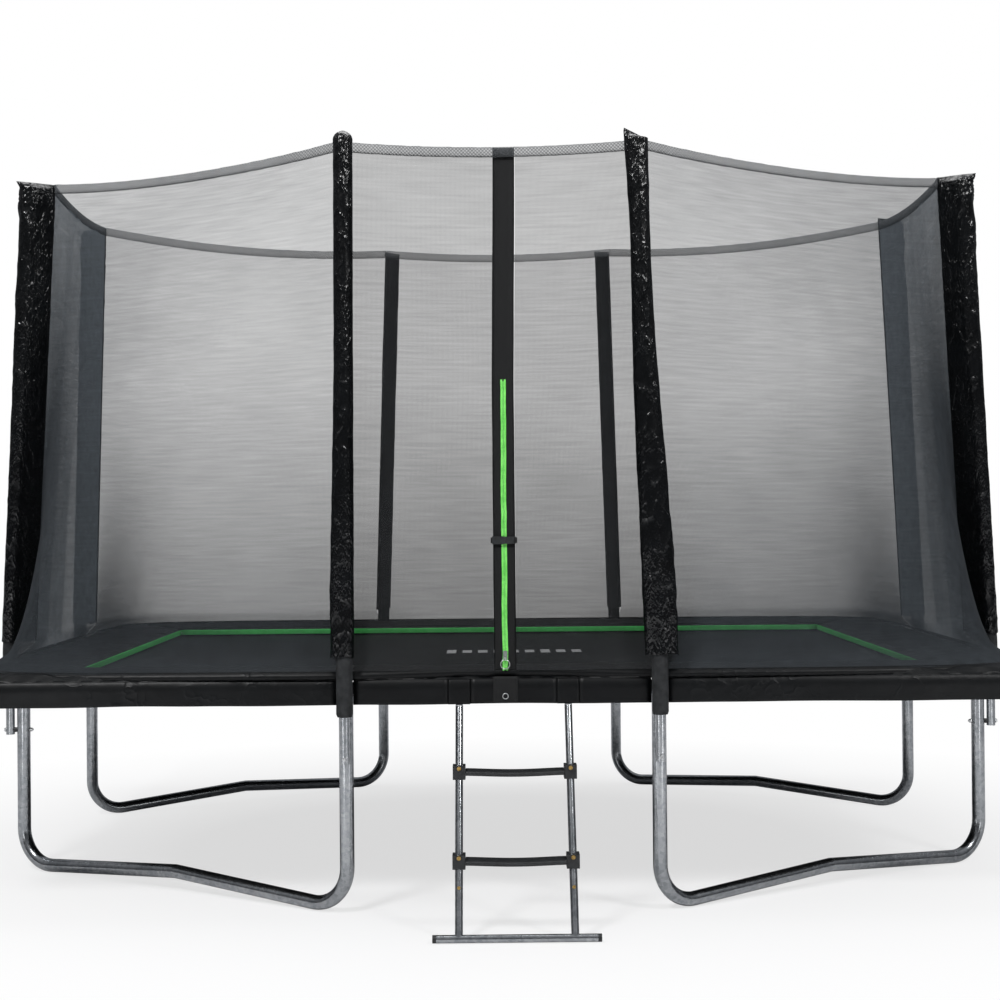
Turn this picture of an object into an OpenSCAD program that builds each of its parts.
// Rectangular garden trampoline with an enclosure net, a pad and a ladder.
// Units are millimetres. +Z is up, the door and the ladder face -Y.

/* [Frame] */
// Width over the frame tubes, left to right
frame_w = 3660; // [3000:10:4300]
// Depth over the frame tubes, front to back
frame_d = 2440; // [2000:10:3000]
// Height of the frame tube's centre line
frame_z = 745; // [600:5:900]
// Outer diameter of the frame and leg tubes
tube_d = 48; // [38:1:60]
// Wall of the frame and leg tubes
tube_t = 1.6; // [1.2:0.1:3]
// Bend radius of the frame's corners
corner_r = 150; // [80:5:300]

/* [Legs] */
// Distance of the front side's uprights from the middle
inner_x = 520; // [400:5:700]
// Distance of the back side's uprights from the middle
back_x = 568; // [400:4:700]
// Distance of the short sides' uprights from the middle
outer_y = 490; // [350:5:600]
// Height of the joint between a leg bend and its upper tubes
seam_z = 260; // [180:5:400]
// Bend radius of the leg bends
leg_r = 130; // [90:5:220]
// How steeply the ground bar rises to its middle, in degrees
bar_rise = 3.9; // [0:0.1:8]

/* [Poles] */
// Diameter of the enclosure poles
pole_d = 31.8; // [25:0.1:38]
// Distance between the pole's and the leg's centre lines
pole_gap = 50; // [45:1:70]
// Height of the lower end of the poles
pole_z0 = 505; // [400:5:650]
// Height where the poles start to lean inwards
kink_z = 800; // [780:5:900]
// Height of the top of the poles' sleeves
top_z = 2610; // [2200:10:2900]
// Inward lean of the upper poles, in degrees
lean = 2.75; // [0:0.05:6]
// Outer diameter of the foam tubes
foam_d = 56; // [45:1:70]
// Height of the lower end of the foam
foam_z0 = 660; // [600:5:720]
// Height of the lower end of the outer sleeves
sleeve_z0 = 850; // [820:5:950]

/* [Net] */
// Height of the net's top edge at the poles
net_top = 2594; // [2200:2:2800]
// Width of the band along the top edge
hem_h = 30; // [15:1:50]
// Thickness of the net as a solid
net_t = 2.4; // [1:0.1:5]
// Sag of the top edge between poles on a side
side_sag = 24; // [0:2:80]
// Sag of the top edge across a corner
corner_sag = 36; // [0:2:120]

/* [Door] */
// Middle of the door band, left or right of the frame's middle
door_x = 10; // [-60:5:60]
// Width of the door band
band_w = 74; // [50:1:110]
// Width of the zip tape
zip_w = 18; // [12:1:30]
// Height of the upper end of the zip
zip_z1 = 1775; // [1500:5:2200]
// Height of the buckle across the door
buckle_z = 1235; // [1000:5:1500]

/* [Mat and pad] */
// Width of the jumping mat
mat_w = 3196; // [2800:4:3400]
// Depth of the jumping mat
mat_d = 1976; // [1700:4:2200]
// Height of the mat's top face
mat_z = 756; // [740:1:765]
// Distance between neighbouring springs
spring_pitch = 130; // [100:5:180]
// Width of the pad from its outer edge to its inner edge
pad_w = 350; // [250:5:450]
// Thickness of the pad
pad_t = 25; // [12:1:40]
// Height of the lower edge of the pad's skirt
skirt_z = 700; // [660:5:730]

/* [Ladder] */
// Middle of the ladder, left or right of the frame's middle
ladder_x = 37; // [-60:1:120]
// Distance between the two rails
rail_span = 360; // [300:5:500]
// Diameter of the rails
rail_d = 25; // [20:1:32]
// How far the foot bar stands in front of the frame tube's centre
foot_out = 354; // [200:2:500]
// Length of the foot bar
foot_w = 500; // [400:5:600]
// Heights of the two steps
step_zs = [489, 229];

/* [Hidden] */
$fn = 48;

tube_r = tube_d / 2;
pole_r = pole_d / 2;
foam_r = foam_d / 2;
rail_r = rail_d / 2;
// Centre lines of the frame tubes
ax = frame_w / 2 - tube_r;
ay = frame_d / 2 - tube_r;
// Sleeve radius and the length of its tapered edge on each pole
sleeve_r = foam_r + 3;
tip_in = 80;
tip_out = 100;
// The whole object is centred over the ground, foot bar included
shift_y = (foot_out + rail_r - pole_gap
  + (sleeve_z0 - kink_z) * tan(lean) - sleeve_r * cos(lean)) / 2;

// A pole: x, y, outward direction, direction of the sleeve's edge,
// sideways lean, length of the sleeve's edge, inward lean
FLI = [-inner_x, -ay, 270, 112, 0, tip_in, lean];
FRI = [inner_x, -ay, 270, 68, 1.8, tip_in, lean];
BLI = [-back_x, ay, 90, 248, 2.1, tip_in, lean];
BRI = [back_x, ay, 90, 292, -1.7, tip_in, lean];
FLO = [-ax, -outer_y, 180, 30, 0, tip_out, lean];
BLO = [-ax, outer_y, 180, 330, 0, tip_out, lean - 1];
FRO = [ax, -outer_y, 0, 150, 0, tip_out, lean];
BRO = [ax, outer_y, 0, 210, 0, tip_out, lean];
INNER = [FLI, FRI, BLI, BRI];
OUTER = [FLO, BLO, FRO, BRO];
POSTS = concat(INNER, OUTER);

// Levels
pad_top = frame_z + 56;
pad_bottom = pad_top - pad_t;
net_z0 = pad_top + 0.4;
bolt_z = pole_z0 + 17;
pole_top = top_z - 60;
// Distances outwards from the frame tube's centre line
skirt_in = 31;
skirt_out = 34;
net_foot = 16;

function dir(a) = [cos(a), sin(a)];
function mix(a, b, t) = a + (b - a) * t;
function rise(z) = max(0, z - kink_z);
function pole_at(p, z) = [p[0], p[1]]
  + (pole_gap - rise(z) * tan(p[6])) * dir(p[2])
  - rise(z) * tan(p[4]) * dir(p[2] + 90);
// The line on which the net meets a sleeve
function reach(p, z) = z < sleeve_z0
  ? mix(pole_gap - net_foot, p[5] + 4, (z - net_z0) / (sleeve_z0 - net_z0))
  : p[5] + 4;
function edge(p, z) = pole_at(p, z) + reach(p, z) * dir(p[3]);

module at_post(p) {
  translate([p[0], p[1], 0])
    rotate([0, 0, p[2]])
      children();
}

module on_lean(p, z) {
  translate([pole_gap, 0, kink_z])
    rotate([p[4], -p[6], 0])
      translate([0, 0, z - kink_z])
        children();
}

module ring_2d(r, t) {
  difference() {
    circle(r);
    circle(r - t);
  }
}

module tube(r, t, h) {
  linear_extrude(h)
    ring_2d(r, t);
}

// ---- Frame ----

module rail_x(y, half) {
  translate([-half, y, frame_z])
    rotate([0, 90, 0])
      tube(tube_r, tube_t, 2 * half);
}

module rail_y(x, half) {
  translate([x, half, frame_z])
    rotate([90, 0, 0])
      tube(tube_r, tube_t, 2 * half);
}

module frame_front_rail() {
  color("Silver")
    rail_x(-ay, ax - corner_r);
}

module frame_back_rail() {
  color("Silver")
    rail_x(ay, ax - corner_r);
}

module frame_left_rail() {
  color("Silver")
    rail_y(-ax, ay - corner_r);
}

module frame_right_rail() {
  color("Silver")
    rail_y(ax, ay - corner_r);
}

module frame_corners() {
  color("Silver")
    for (c = [[1, 1, 0], [-1, 1, 90], [-1, -1, 180], [1, -1, 270]])
      translate([c[0] * (ax - corner_r), c[1] * (ay - corner_r), frame_z])
        rotate([0, 0, c[2]])
          rotate_extrude(angle = 90)
            translate([corner_r, 0])
              ring_2d(tube_r, tube_t);
}

// ---- Legs ----

module leg_sockets() {
  color("Gray")
    for (p = POSTS)
      at_post(p)
        difference() {
          translate([0, 0, frame_z - 43])
            tube(tube_r + 3, 2.7, 30);
          translate([0, 0, frame_z])
            rotate([90, 0, 0])
              cylinder(r = tube_r + 0.2, h = 120, center = true);
        }
}

module leg_tubes_upper() {
  color("Silver")
    for (p = POSTS)
      at_post(p)
        difference() {
          translate([0, 0, seam_z])
            tube(tube_r, tube_t, frame_z - tube_r - 2 - seam_z);
          translate([0, 0, frame_z])
            rotate([90, 0, 0])
              cylinder(r = tube_r + 0.2, h = 120, center = true);
          translate([0, 0, bolt_z])
            rotate([0, 90, 0])
              cylinder(r = 4.2, h = 120, center = true);
        }
}

// Half of one leg bend: upright, bend and rising bar up to the middle
module half_bend(half) {
  low_x = half - leg_r;
  low_z = tube_r + leg_r;
  translate([half, 0, low_z])
    tube(tube_r, 3, seam_z - low_z);
  translate([half, 0, seam_z])
    tube(tube_r - tube_t - 0.2, 1.2, 40);
  translate([low_x, 0, low_z])
    rotate([90, 0, 0])
      mirror([0, 1, 0])
        rotate_extrude(angle = 90 + bar_rise)
          translate([leg_r, 0])
            ring_2d(tube_r, 3);
  difference() {
    translate([low_x, 0, low_z])
      rotate([0, bar_rise, 0])
        translate([0, 0, -leg_r])
          rotate([0, -90, 0])
            tube(tube_r, 3, low_x);
    translate([-100, -50, -10])
      cube([100, 100, 200]);
  }
}

module leg_bend(sx, sy) {
  a = [sx * ax, sy * outer_y];
  b = [sx * (sy < 0 ? inner_x : back_x), sy * ay];
  m = (a + b) / 2;
  d = a - b;
  color("Silver")
    translate([m[0], m[1], 0])
      rotate([0, 0, atan2(d[1], d[0])]) {
        half_bend(norm(d) / 2);
        mirror([1, 0, 0])
          half_bend(norm(d) / 2);
      }
}

module leg_bend_front_left() {
  leg_bend(-1, -1);
}

module leg_bend_front_right() {
  leg_bend(1, -1);
}

module leg_bend_back_left() {
  leg_bend(-1, 1);
}

module leg_bend_back_right() {
  leg_bend(1, 1);
}

// ---- Poles ----

module poles_lower() {
  color("Silver")
    for (p = POSTS)
      at_post(p)
        difference() {
          translate([pole_gap, 0, pole_z0])
            tube(pole_r, 1.5, kink_z - pole_z0);
          translate([0, 0, bolt_z])
            rotate([0, 90, 0])
              cylinder(r = 4.2, h = 160, center = true);
        }
}

module poles_upper() {
  color("Silver")
    for (p = POSTS)
      at_post(p)
        on_lean(p, kink_z + 1.6)
          tube(pole_r, 1.5, pole_top - kink_z - 2);
}

module pole_spacers() {
  color("Black")
    for (p = POSTS)
      at_post(p)
        difference() {
          translate([tube_r - 4, 0, bolt_z])
            rotate([0, 90, 0])
              cylinder(r = 9, h = pole_gap - pole_r - tube_r + 8);
          translate([0, 0, bolt_z])
            rotate([0, 90, 0])
              cylinder(r = 4.2, h = 160, center = true);
          cylinder(r = tube_r, h = 900);
          translate([pole_gap, 0, 0])
            cylinder(r = pole_r, h = 900);
        }
}

module pole_bolts() {
  color("Gainsboro")
    for (p = POSTS)
      at_post(p)
        translate([pole_gap + pole_r, 0, bolt_z])
          rotate([0, 90, 0]) {
            translate([0, 0, 0.2])
              cylinder(r = 8, h = 1.6);
            translate([0, 0, 1.8])
              cylinder(r = 7, h = 5, $fn = 6);
            translate([0, 0, -pole_gap - pole_r - tube_r - 12])
              cylinder(r = 4, h = pole_gap + pole_r + tube_r + 12.2);
          }
}

module pole_nuts() {
  color("Gainsboro")
    for (p = POSTS)
      at_post(p)
        translate([-tube_r - 0.2, 0, bolt_z])
          rotate([0, -90, 0])
            difference() {
              union() {
                cylinder(r = 8, h = 1.6);
                translate([0, 0, 1.6])
                  cylinder(r = 7, h = 6.5, $fn = 6);
              }
              translate([0, 0, -1])
                cylinder(r = 4, h = 12);
            }
}

module foam_lower() {
  color("DimGray")
    for (p = POSTS)
      at_post(p)
        difference() {
          translate([pole_gap, 0, foam_z0])
            cylinder(r = foam_r, h = kink_z - foam_z0);
          translate([pole_gap, 0, foam_z0 - 1])
            cylinder(r = pole_r, h = kink_z - foam_z0 + 2);
          translate([tube_r + 3.5 - 20, -40, foam_z0 - 1])
            cube([20, 80, kink_z - foam_z0 + 2]);
        }
}

module foam_upper() {
  color("DimGray")
    for (p = POSTS)
      at_post(p)
        on_lean(p, kink_z + 1.6)
          tube(foam_r, foam_r - pole_r, pole_top - kink_z - 2);
}

module sleeve(p) {
  h = top_z - sleeve_z0;
  at_post(p)
    on_lean(p, sleeve_z0)
      difference() {
        linear_extrude(h)
          union() {
            circle(sleeve_r);
            rotate(p[3] - p[2])
              polygon([
                [p[5], 1.5], [8, sleeve_r - 4],
                [8, 4 - sleeve_r], [p[5], -1.5]
              ]);
          }
        translate([0, 0, -1])
          cylinder(r = foam_r, h = h - 12);
      }
}

module sleeves_inner() {
  color("Black")
    for (p = INNER)
      sleeve(p);
}

module sleeves_outer() {
  color("Black")
    for (p = OUTER)
      sleeve(p);
}

// ---- Springs, mat and pad ----

// A spring along +X from the frame tube to the mat's ring
module spring(gap) {
  hook = 22;
  rotate([0, 90, 0]) {
    cylinder(r = 1.8, h = hook + 1);
    translate([0, 0, hook])
      cylinder(r = 10, h = gap - 2 * hook);
    translate([0, 0, gap - hook - 1])
      cylinder(r = 1.8, h = hook + 1);
  }
}

ring_out = 14;
gap_y = ay - tube_r - 0.2 - mat_d / 2 - ring_out - 3;
gap_x = ax - tube_r - 0.2 - mat_w / 2 - ring_out - 3;
long_n = 24;
short_n = 14;

module spring_row(side, n, start, gap) {
  color("LightGray")
    rotate([0, 0, side])
      for (i = [0:n - 1])
        translate([-start, (i - (n - 1) / 2) * spring_pitch, mat_z - 3])
          spring(gap);
}

module springs_front() {
  spring_row(90, long_n, ay - tube_r - 0.2, gap_y);
}

module springs_back() {
  spring_row(270, long_n, ay - tube_r - 0.2, gap_y);
}

module springs_left() {
  spring_row(0, short_n, ax - tube_r - 0.2, gap_x);
}

module springs_right() {
  spring_row(180, short_n, ax - tube_r - 0.2, gap_x);
}

// The part of the mat that the pad leaves free
free_w = 2 * (ax + skirt_out - pad_w) - 8;
free_d = 2 * (ay + skirt_out - pad_w) - 8;

module jumping_mat() {
  color("Black")
    translate([-free_w / 2, -free_d / 2, mat_z - 2.4])
      cube([free_w, free_d, 2.4]);
}

module border(h, w, d) {
  linear_extrude(h)
    difference() {
      square([mat_w, mat_d], center = true);
      square([w, d], center = true);
    }
}

// The sewn border: a lower layer and a folded hem on top of it
module mat_hem() {
  color("Black")
    translate([0, 0, mat_z - 2.4]) {
      border(2.2, free_w, free_d);
      border(5.4, mat_w - 90, mat_d - 90);
    }
}

module ring_row(side, n, start) {
  rotate([0, 0, side])
    for (i = [0:n - 1])
      translate([-start, (i - (n - 1) / 2) * spring_pitch, mat_z - 1.2])
        linear_extrude(2.4)
          difference() {
            translate([-ring_out, -19])
              square([ring_out - 0.2, 38]);
            translate([-ring_out + 3, -15])
              square([ring_out + 2, 30]);
          }
}

module mat_rings() {
  color("Silver") {
    ring_row(90, long_n, mat_d / 2);
    ring_row(270, long_n, mat_d / 2);
    ring_row(0, short_n, mat_w / 2);
    ring_row(180, short_n, mat_w / 2);
  }
}

// Cross section of a pad, x outwards from the frame tube's centre line
module pad_2d() {
  polygon([
    [skirt_out, pad_bottom], [skirt_out, pad_top - 8],
    [skirt_out - 8, pad_top], [skirt_out - pad_w + 8, pad_top - 10],
    [skirt_out - pad_w, pad_top - 14], [skirt_out - pad_w, pad_top - 37],
    [-40, pad_bottom]
  ]);
}

// Plan of the front pad: mitred at 45 degrees at both ends
module mitre_2d(half_w, half_d) {
  k = half_w - half_d;
  polygon([
    [-half_w - 60 + 0.4, -half_d - 60], [half_w + 60 - 0.4, -half_d - 60],
    [half_w - pad_w - 60 - 0.4, -half_d + pad_w + 60],
    [-half_w + pad_w + 60 + 0.4, -half_d + pad_w + 60]
  ]);
}

module pole_notches() {
  for (p = POSTS)
    at_post(p)
      translate([pole_gap, 0, skirt_z - 5])
        cylinder(r = foam_r + 0.5, h = 130);
}

// The front pad of a frame with these centre lines
module pad_side(cx, cy) {
  intersection() {
    translate([-cx - 60, -cy, 0])
      rotate([90, 0, 90])
        linear_extrude(2 * cx + 120)
          mirror([1, 0])
            pad_2d();
    translate([0, 0, pad_bottom - 60])
      linear_extrude(140)
        mitre_2d(cx + skirt_out, cy + skirt_out);
  }
}

module pad_front() {
  color("Black")
    difference() {
      pad_side(ax, ay);
      pole_notches();
    }
}

module pad_back() {
  color("Black")
    difference() {
      rotate([0, 0, 180])
        pad_side(ax, ay);
      pole_notches();
    }
}

module pad_left() {
  color("Black")
    difference() {
      rotate([0, 0, 270])
        pad_side(ay, ax);
      pole_notches();
    }
}

module pad_right() {
  color("Black")
    difference() {
      rotate([0, 0, 90])
        pad_side(ay, ax);
      pole_notches();
    }
}

flap_w = 64;
skirt_h = pad_bottom - 0.4 - skirt_z;

module skirt_bar(half, y) {
  translate([-half, y - skirt_out, skirt_z])
    cube([2 * half, skirt_out - skirt_in, skirt_h]);
}

module pad_skirts() {
  color("Black")
    difference() {
      union() {
        skirt_bar(ax + skirt_out - 0.2, -ay);
        rotate([0, 0, 180])
          skirt_bar(ax + skirt_out - 0.2, -ay);
        rotate([0, 0, 90])
          skirt_bar(ay + skirt_in - 0.4, -ax);
        rotate([0, 0, 270])
          skirt_bar(ay + skirt_in - 0.4, -ax);
      }
      pole_notches();
      for (s = [-1, 1])
        translate([ladder_x + s * rail_span / 2, -ay - skirt_out, 0])
          translate([-flap_w / 2 - 0.5, -5, skirt_z - 1])
            cube([flap_w + 1, 14, skirt_h + 2]);
    }
}

module pad_ladder_flaps() {
  color("Black")
    for (s = [-1, 1])
      translate([ladder_x + s * rail_span / 2, -ay - skirt_out, skirt_z])
        translate([-flap_w / 2, 0, 0])
          cube([flap_w, skirt_out - skirt_in, skirt_h]);
}

// The coloured face of the pad's inner edge
trim_t = 1.2;

module trim_bar(half, y) {
  translate([-half, y + 0.1, pad_top - 37])
    cube([2 * half, trim_t, 23]);
}

module pad_trim() {
  w = ax + skirt_out - pad_w;
  d = ay + skirt_out - pad_w;
  color("ForestGreen") {
    trim_bar(w - 0.2, -d);
    rotate([0, 0, 180])
      trim_bar(w - 0.2, -d);
    rotate([0, 0, 90])
      trim_bar(d - trim_t - 0.4, -w);
    rotate([0, 0, 270])
      trim_bar(d - trim_t - 0.4, -w);
  }
}

// ---- Net ----

// How far outwards the net stands at a pole and half way between poles
function net_out(p, z) = pole_gap - rise(z) * tan(p[6])
  - reach(p, z) * cos(p[3] - p[2] - 180);
function net_mid(p, z) = mix(net_foot, net_out(p, net_top),
  (z - net_z0) / (net_top - net_z0));

// A point of a straight panel between poles a and b
function side_pt(a, b, u, z) =
  let (w = min(1, 2.6 * min(u, 1 - u)))
  mix(edge(a, z), edge(b, z), u)
  + w * (net_mid(a, z) - net_out(a, z)) * dir(a[2]);

// Columns of a corner panel
col_n = 10;
function corner_of(a, b) = [
  sign(b[0]) * (ax + net_foot), sign(a[1]) * (ay + net_foot)
];
// The foot runs round the corner on a smooth curve
bend = 6.6;
function curve(a, c, b, t) =
  ((1 - t) * (1 - t) * a + bend * t * (1 - t) * c + t * t * b)
  / ((1 - t) * (1 - t) + bend * t * (1 - t) + t * t);
function foot_pt(a, b, u) = curve(edge(a, net_z0), corner_of(a, b),
  edge(b, net_z0), mix(u * u * (3 - 2 * u), u, 0.15));
function flare(z) = let (v = max(0, z - net_z0) / (net_top - net_z0))
  (1 - v) * (0.87 + 0.13 * exp(-v / 0.05));
function corner_pt(a, b, u, z) =
  mix(edge(a, z), edge(b, z), u)
  + flare(z) * (foot_pt(a, b, u)
  - mix(edge(a, net_z0), edge(b, net_z0), u));

function net_pt(kind, a, b, u, z) = kind == "side"
  ? side_pt(a, b, u, z)
  : corner_pt(a, b, u, z);
function sag(kind, u) = (kind == "side" ? side_sag : corner_sag)
  * 4 * u * (1 - u);
function top_at(kind, u) = net_top - sag(kind, u);
// The share of the way from a to b at which a front panel meets the door
function door_at(a, b, x, z) =
  (x - edge(a, z)[0]) / (edge(b, z)[0] - edge(a, z)[0]);

levels = [0, 0.028, 0.06, 0.12, 0.22, 0.4, 0.66, 1];

// A thin closed shell: rows of points on two faces, joined at the rims
module shell(front, back, rows, cols) {
  n = rows * cols;
  f = function (r, c) r * cols + c;
  b = function (r, c) n + r * cols + c;
  polyhedron(
    points = concat(front, back),
    faces = concat(
      [for (r = [0:rows - 2], c = [0:cols - 2])
        each [[f(r, c), f(r + 1, c), f(r + 1, c + 1)],
              [f(r, c), f(r + 1, c + 1), f(r, c + 1)]]],
      [for (r = [0:rows - 2], c = [0:cols - 2])
        each [[b(r, c), b(r + 1, c + 1), b(r + 1, c)],
              [b(r, c), b(r, c + 1), b(r + 1, c + 1)]]],
      [for (c = [0:cols - 2])
        each [[f(0, c), f(0, c + 1), b(0, c + 1)],
              [f(0, c), b(0, c + 1), b(0, c)],
              [f(rows - 1, c), b(rows - 1, c + 1), f(rows - 1, c + 1)],
              [f(rows - 1, c), b(rows - 1, c), b(rows - 1, c + 1)]]],
      [for (r = [0:rows - 2])
        each [[f(r, 0), b(r + 1, 0), f(r + 1, 0)],
              [f(r, 0), b(r, 0), b(r + 1, 0)],
              [f(r, cols - 1), f(r + 1, cols - 1), b(r + 1, cols - 1)],
              [f(r, cols - 1), b(r + 1, cols - 1), b(r, cols - 1)]]]
    )
  );
}

function grow(q, z, n, t) = [q[0] + n[0] * t, q[1] + n[1] * t, z];

// A panel with its columns at us. Its outer face looks along n. With a
// stop, the panel ends at that x and us are shares of the way to it.
module panel(kind, a, b, us, n, t, hem, stop = undef) {
  rows = hem ? 2 : len(levels);
  at = function (u, z) is_undef(stop) ? u : u * door_at(a, b, stop, z);
  zs = function (r, u) hem
    ? top_at(kind, u) - (1 - r) * (hem_h - 0.3)
    : net_z0 + levels[r]
      * (top_at(kind, at(u, net_top)) - hem_h - net_z0);
  q = function (r, u, s)
    grow(net_pt(kind, a, b, at(u, zs(r, u)), zs(r, u)), zs(r, u), n,
      s * t / 2);
  shell(
    [for (r = [0:rows - 1], u = us) q(r, u, 1)],
    [for (r = [0:rows - 1], u = us) q(r, u, -1)],
    rows, len(us)
  );
}

function steps(u0, u1, n) = [for (i = [0:n]) mix(u0, u1, i / n)];
// A panel stops just short of its neighbours
seam = 0.0028;
full = steps(seam, 1 - seam, 10);
half_door = band_w / 2 + 0.4;

module net_front_left() {
  color("DarkSlateGray", 0.5)
    panel("side", FLI, FRI, steps(seam, 1, 5), [0, -1], net_t, false,
      door_x - half_door);
}

module net_front_right() {
  color("DarkSlateGray", 0.5)
    mirror([1, 0, 0])
      panel("side", flipx(FRI), flipx(FLI), steps(seam, 1, 5), [0, -1],
        net_t, false, -door_x - half_door);
}

module net_back() {
  color("DarkSlateGray", 0.5)
    panel("side", BRI, BLI, full, [0, 1], net_t, false);
}

module net_left() {
  color("DarkSlateGray", 0.5)
    panel("side", BLO, FLO, full, [-1, 0], net_t, false);
}

module net_right() {
  color("DarkSlateGray", 0.5)
    panel("side", FRO, BRO, full, [1, 0], net_t, false);
}

// The corner panels are built at the front left and mirrored in place
function flipx(p) =
  [-p[0], p[1], 180 - p[2], 180 - p[3], -p[4], p[5], p[6]];
function flipy(p) = [p[0], -p[1], -p[2], -p[3], -p[4], p[5], p[6]];

module corner_net(a, b, hem) {
  rows = hem ? 2 : len(levels);
  n = [-0.55, -0.83];
  t = hem ? net_t + 1.6 : net_t;
  zs = function (r, u) hem
    ? top_at("corner", u) - (1 - r) * (hem_h - 0.3)
    : net_z0 + levels[r] * (top_at("corner", u) - hem_h - net_z0);
  q = function (r, u, s)
    grow(corner_pt(a, b, u, zs(r, u)), zs(r, u), n, s * t / 2);
  us = [for (i = [col_n:-1:0])
    hem ? hem_cols[i] : mix(seam, 1 - seam, i / col_n)];
  shell(
    [for (r = [0:rows - 1], u = us) q(r, u, 1)],
    [for (r = [0:rows - 1], u = us) q(r, u, -1)],
    rows, len(us)
  );
}

module net_corner_front_left() {
  color("DarkSlateGray", 0.5)
    corner_net(FLI, FLO, false);
}

module net_corner_front_right() {
  color("DarkSlateGray", 0.5)
    mirror([1, 0, 0])
      corner_net(flipx(FRI), flipx(FRO), false);
}

module net_corner_back_left() {
  color("DarkSlateGray", 0.5)
    mirror([0, 1, 0])
      corner_net(flipy(BLI), flipy(BLO), false);
}

module net_corner_back_right() {
  color("DarkSlateGray", 0.5)
    mirror([1, 0, 0])
      mirror([0, 1, 0])
        corner_net(flipy(flipx(BRI)), flipy(flipx(BRO)), false);
}

// Columns of a hem strip, which stops just short of its neighbours
hem_cols = [0.001, 0.1, 0.2, 0.3, 0.4, 0.5, 0.6, 0.7, 0.8, 0.9, 0.999];

module net_top_hem() {
  t = net_t + 1.6;
  color("DimGray") {
    panel("side", FLI, FRI, hem_cols, [0, -1], t, true);
    panel("side", BRI, BLI, hem_cols, [0, 1], t, true);
    panel("side", BLO, FLO, hem_cols, [-1, 0], t, true);
    panel("side", FRO, BRO, hem_cols, [1, 0], t, true);
    corner_net(FLI, FLO, true);
    mirror([1, 0, 0])
      corner_net(flipx(FRI), flipx(FRO), true);
    mirror([0, 1, 0])
      corner_net(flipy(BLI), flipy(BLO), true);
    mirror([1, 0, 0])
      mirror([0, 1, 0])
        corner_net(flipy(flipx(BRI)), flipy(flipx(BRO)), true);
  }
}

// ---- Door ----

// The door's line: its foot and its lean
door_y0 = -ay - net_foot;
door_rise = net_top - net_z0;
door_in = net_foot - net_out(FLI, net_top);
door_lean = atan2(door_in, door_rise);
door_len = door_rise / cos(door_lean);

// Local +Z runs up the door, local -Y faces outwards
module on_door() {
  translate([door_x, door_y0, net_z0])
    rotate([-door_lean, 0, 0])
      children();
}

function up_door(z) = (z - net_z0) / cos(door_lean);

module door_band() {
  color("Black")
    on_door()
      translate([-band_w / 2, -1.2, 0])
        cube([band_w, 2.4, door_len - hem_h - side_sag - 2]);
}

module zip_tape() {
  color("LimeGreen")
    on_door()
      translate([-zip_w / 2, -2.6, 2])
        cube([zip_w, 1.2, up_door(zip_z1) - 2]);
}

slider_s = 42;

module zip_slider() {
  color("Silver")
    on_door()
      translate([0, -3, slider_s]) {
        translate([-7, -4, 0])
          cube([14, 4, 26]);
        translate([-7, -9.5, 1.5])
          rotate([0, 90, 0])
            difference() {
              translate([-4.5, 0, 0])
                cube([7, 6, 3]);
              translate([-1.2, 2, -1])
                cylinder(r = 1.35, h = 5);
            }
        translate([4, -9.5, 1.5])
          rotate([0, 90, 0])
            difference() {
              translate([-4.5, 0, 0])
                cube([7, 6, 3]);
              translate([-1.2, 2, -1])
                cylinder(r = 1.35, h = 5);
            }
      }
}

pull_y = -3 - 9.5 + 2;
pull_z = slider_s + 1.5 + 1.2;

module zip_pull_ring() {
  color("Silver")
    on_door()
      translate([0, pull_y, pull_z]) {
        rotate([0, 90, 0])
          cylinder(r = 1.3, h = 14, center = true);
        rotate([door_lean, 0, 0]) {
          translate([-2.5, -1.2, -7.5])
            cube([5, 2.4, 7.5]);
          translate([0, 0, -21.5])
            rotate([90, 0, 0])
              rotate_extrude()
                translate([15, 0])
                  circle(1.6);
        }
      }
}

module on_buckle() {
  on_door()
    translate([0, -3, up_door(buckle_z)])
      children();
}

module buckle_socket() {
  color("Black")
    on_buckle()
      difference() {
        translate([-40, -10, -13])
          cube([42, 9.6, 26]);
        translate([-16, -7.6, -9])
          cube([20, 4.8, 18]);
      }
}

module buckle_plug() {
  color("Black")
    on_buckle() {
      translate([2.4, -9.6, -12])
        cube([36, 8.8, 24]);
      translate([-14, -7, -8])
        cube([18, 3.6, 5]);
      translate([-14, -7, 3])
        cube([18, 3.6, 5]);
      translate([-14, -7, -2])
        cube([18, 3.6, 4]);
    }
}

module door_patch() {
  color("Black")
    translate([door_x - band_w / 2 - 4, -ay - skirt_out - 3.2, 0])
      translate([0, 0, skirt_z - 2])
        cube([band_w + 8, 3, pad_top - 12 - skirt_z]);
}

module door_ring() {
  color("Silver")
    translate([door_x, -ay - skirt_out - 3.2 - 1.9, skirt_z + 22])
      rotate([90, 0, 0])
        rotate_extrude()
          translate([9, 0])
            circle(1.5);
}

// ---- Ladder ----

// The rails' line, in the plane of one rail
rail_y0 = -ay - tube_r - 3;
rail_top = skirt_z - 8;
foot_y = -ay - foot_out;
rail_lean = atan2(rail_y0 - foot_y, rail_top - rail_r);
rail_len = (rail_top - rail_r) / cos(rail_lean);
// Distance down the rail from its top
function down(z) = (rail_top - z) / cos(rail_lean);
rail_seam = down(145);

// Local -Z runs down the rail from its top
module on_rail(s) {
  translate([ladder_x + s * rail_span / 2, rail_y0, rail_top])
    rotate([-rail_lean, 0, 0])
      children();
}

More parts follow.
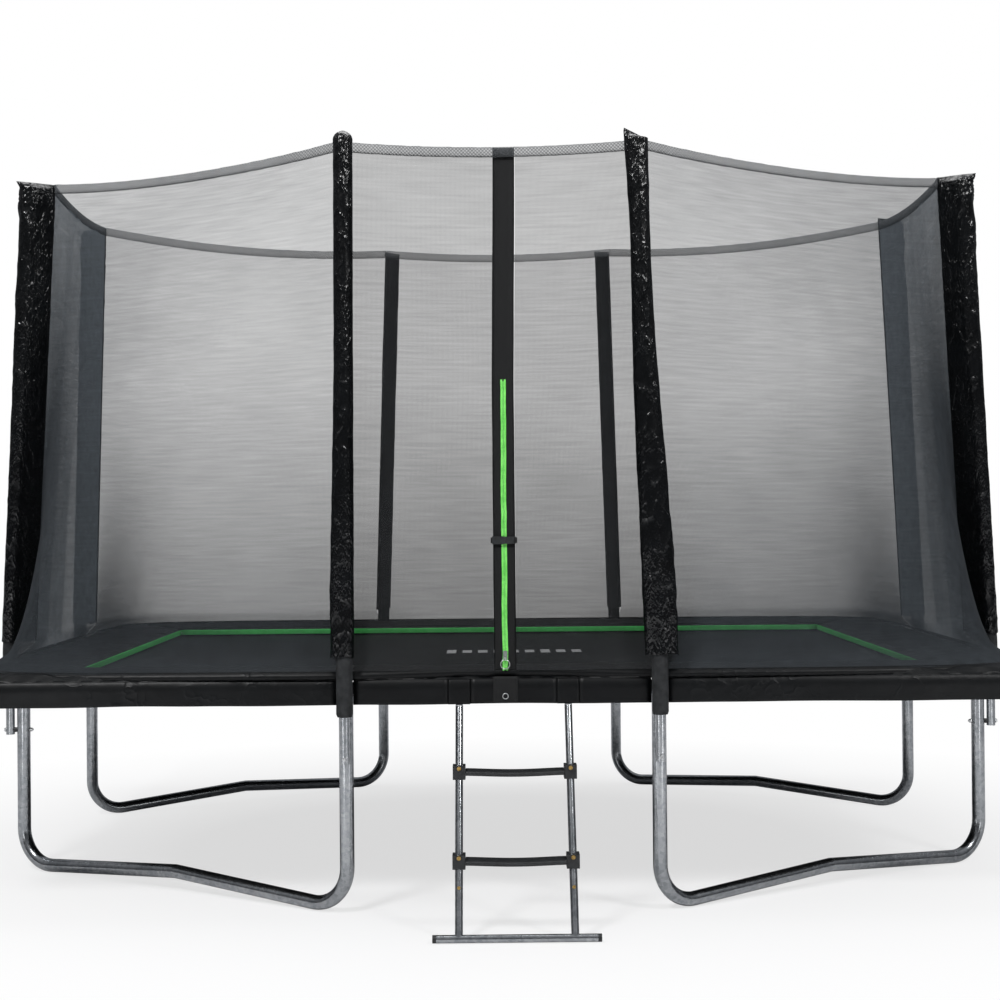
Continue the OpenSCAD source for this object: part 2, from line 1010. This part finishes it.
module ladder_rails() {
  color("Silver")
    for (s = [-1, 1])
      on_rail(s)
        difference() {
          translate([0, 0, -rail_seam])
            tube(rail_r, 1.4, rail_seam);
          for (z = step_zs)
            translate([0, 0, -down(z)])
              rotate([90, 0, 0])
                cylinder(r = 3.1, h = 60, center = true);
          translate([0, 0, -down(150)])
            rotate([90, 0, 0])
              cylinder(r = 3.1, h = 60, center = true);
          rotate([rail_lean, 0, 0])
            translate([-30, -60, 0])
              cube([60, 120, 60]);
        }
}

hook_r = tube_r + 0.5;
hook_t = 5;

module ladder_hooks() {
  color("Silver")
    for (s = [-1, 1])
      translate([ladder_x + s * rail_span / 2, -ay, frame_z]) {
        rotate([0, 0, -90])
          rotate([90, 0, 0])
            rotate([0, 0, 0])
              rotate_extrude(angle = 150)
                translate([hook_r, -10])
                  square([hook_t, 20]);
        translate([-10, -hook_r - hook_t, rail_top - frame_z + 2.5])
          cube([20, hook_t, frame_z - rail_top - 2.5]);
        translate([-12, -hook_r - 5 - 4, rail_top - frame_z + 0.2])
          cube([24, 10, 2.6]);
      }
}

module step_at(z) {
  y = rail_y0 - (rail_top - z) * tan(rail_lean);
  w = rail_span - 42;
  translate([ladder_x, y, z])
    difference() {
      translate([-w / 2, -34, -8])
        cube([w, 68, 16]);
      for (i = [-1, 1])
        translate([-w / 2 - 1, i * 17 - 11, -12])
          cube([w + 2, 22, 12]);
    }
}

module ladder_step_upper() {
  color("Black")
    step_at(step_zs[0]);
}

module ladder_step_lower() {
  color("Black")
    step_at(step_zs[1]);
}

module step_clamps() {
  color("Black")
    for (s = [-1, 1])
      for (z = step_zs)
        translate([
          ladder_x + s * rail_span / 2,
          rail_y0 - (rail_top - z) * tan(rail_lean), z
        ])
          difference() {
            translate([-20.5, -24, -22])
              cube([41, 48, 44]);
            rotate([-rail_lean, 0, 0])
              cylinder(r = rail_r + 0.1, h = 200, center = true);
            rotate([-rail_lean, 0, 0])
              rotate([90, 0, 0])
                cylinder(r = 3.1, h = 90, center = true);
          }
}

module ladder_bolts() {
  color("Goldenrod")
    for (s = [-1, 1])
      on_rail(s) {
        for (z = step_zs)
          translate([0, -31, -down(z)])
            rotate([-90, 0, 0]) {
              cylinder(r = 3, h = 60);
              translate([0, 0, -3.6])
                cylinder(r = 6.5, h = 3.6);
            }
        translate([0, -rail_r - 0.4, -down(150)])
          rotate([-90, 0, 0]) {
            cylinder(r = 3, h = 28);
            translate([0, 0, -3])
              cylinder(r = 5.5, h = 3);
          }
      }
}

module ladder_foot() {
  color("Silver")
    difference() {
      union() {
        for (s = [-1, 1])
          on_rail(s) {
            translate([0, 0, -rail_len])
              cylinder(r = rail_r, h = rail_len - rail_seam - 0.2);
            translate([0, 0, -rail_seam - 1])
              cylinder(r = rail_r - 1.7, h = 46);
          }
        translate([ladder_x - foot_w / 2, foot_y, rail_r])
          rotate([0, 90, 0])
            cylinder(r = rail_r, h = foot_w);
      }
      for (s = [-1, 1])
        on_rail(s)
          translate([0, 0, -down(150)])
            rotate([90, 0, 0])
              cylinder(r = 3.1, h = 60, center = true);
    }
}

module ladder_foot_caps() {
  color("Black")
    for (s = [-1, 1])
      translate([ladder_x + s * (foot_w / 2 + 0.1), foot_y, rail_r])
        rotate([0, s * 90, 0])
          cylinder(r = rail_r, h = 12);
}

// ---- The object ----

translate([0, shift_y, 0]) {
  frame_front_rail();
  frame_back_rail();
  frame_left_rail();
  frame_right_rail();
  frame_corners();
  leg_sockets();
  leg_tubes_upper();
  leg_bend_front_left();
  leg_bend_front_right();
  leg_bend_back_left();
  leg_bend_back_right();
  poles_lower();
  poles_upper();
  pole_spacers();
  pole_bolts();
  pole_nuts();
  foam_lower();
  foam_upper();
  sleeves_inner();
  sleeves_outer();
  springs_front();
  springs_back();
  springs_left();
  springs_right();
  jumping_mat();
  mat_hem();
  mat_rings();
  pad_front();
  pad_back();
  pad_left();
  pad_right();
  pad_skirts();
  pad_ladder_flaps();
  pad_trim();
  net_front_left();
  net_front_right();
  net_back();
  net_left();
  net_right();
  net_corner_front_left();
  net_corner_front_right();
  net_corner_back_left();
  net_corner_back_right();
  net_top_hem();
  door_band();
  zip_tape();
  zip_slider();
  zip_pull_ring();
  buckle_socket();
  buckle_plug();
  door_patch();
  door_ring();
  ladder_rails();
  ladder_hooks();
  ladder_step_upper();
  ladder_step_lower();
  step_clamps();
  ladder_bolts();
  ladder_foot();
  ladder_foot_caps();
}
